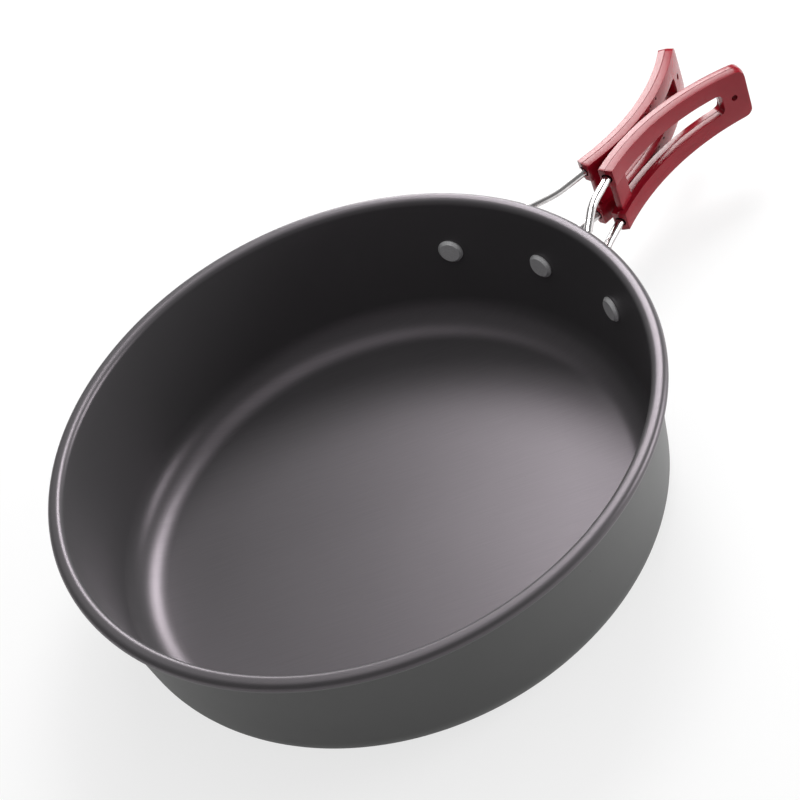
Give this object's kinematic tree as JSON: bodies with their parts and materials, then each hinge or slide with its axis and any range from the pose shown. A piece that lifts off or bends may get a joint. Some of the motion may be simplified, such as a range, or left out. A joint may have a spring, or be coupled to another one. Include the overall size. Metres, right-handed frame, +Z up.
{
  "type": "folding-handle camping pan",
  "caption": "Deep round camping frying pan in dark anodised aluminium with a rolled rim and a wire handle in two halves with red grips that fold round the wall.",
  "frame": {"origin": "middle of the underside of the base", "axes": "+Z up, +X from the pan towards the open handle, XZ is the mirror plane"},
  "size_m": [0.2926, 0.2, 0.0526],
  "materials": {
    "pan": "hard anodised, satin",
    "rivet": "satin",
    "steel": "polished stainless",
    "grip": "satin gloss"
  },
  "bodies": {
    "pan": {"pan_body": "pan", "handle_bracket": "steel", "rivet_left": "rivet", "rivet_middle": "rivet", "rivet_right": "rivet"},
    "left_handle": {"wire_left": "steel", "grip_left": "grip"},
    "right_handle": {"wire_right": "steel", "grip_right": "grip"}
  },
  "joints": [
    {"name": "left_handle_fold", "type": "hinge", "parent": "pan", "child": "left_handle", "pos_m": [0.09627, 0.01863, 0.0314], "axis": [0, 0, 1], "range_deg": [0, 130]},
    {"name": "right_handle_fold", "type": "hinge", "parent": "pan", "child": "right_handle", "pos_m": [0.09627, -0.01863, 0.0314], "axis": [0, 0, -1], "range_deg": [0, 130]}
  ]
}
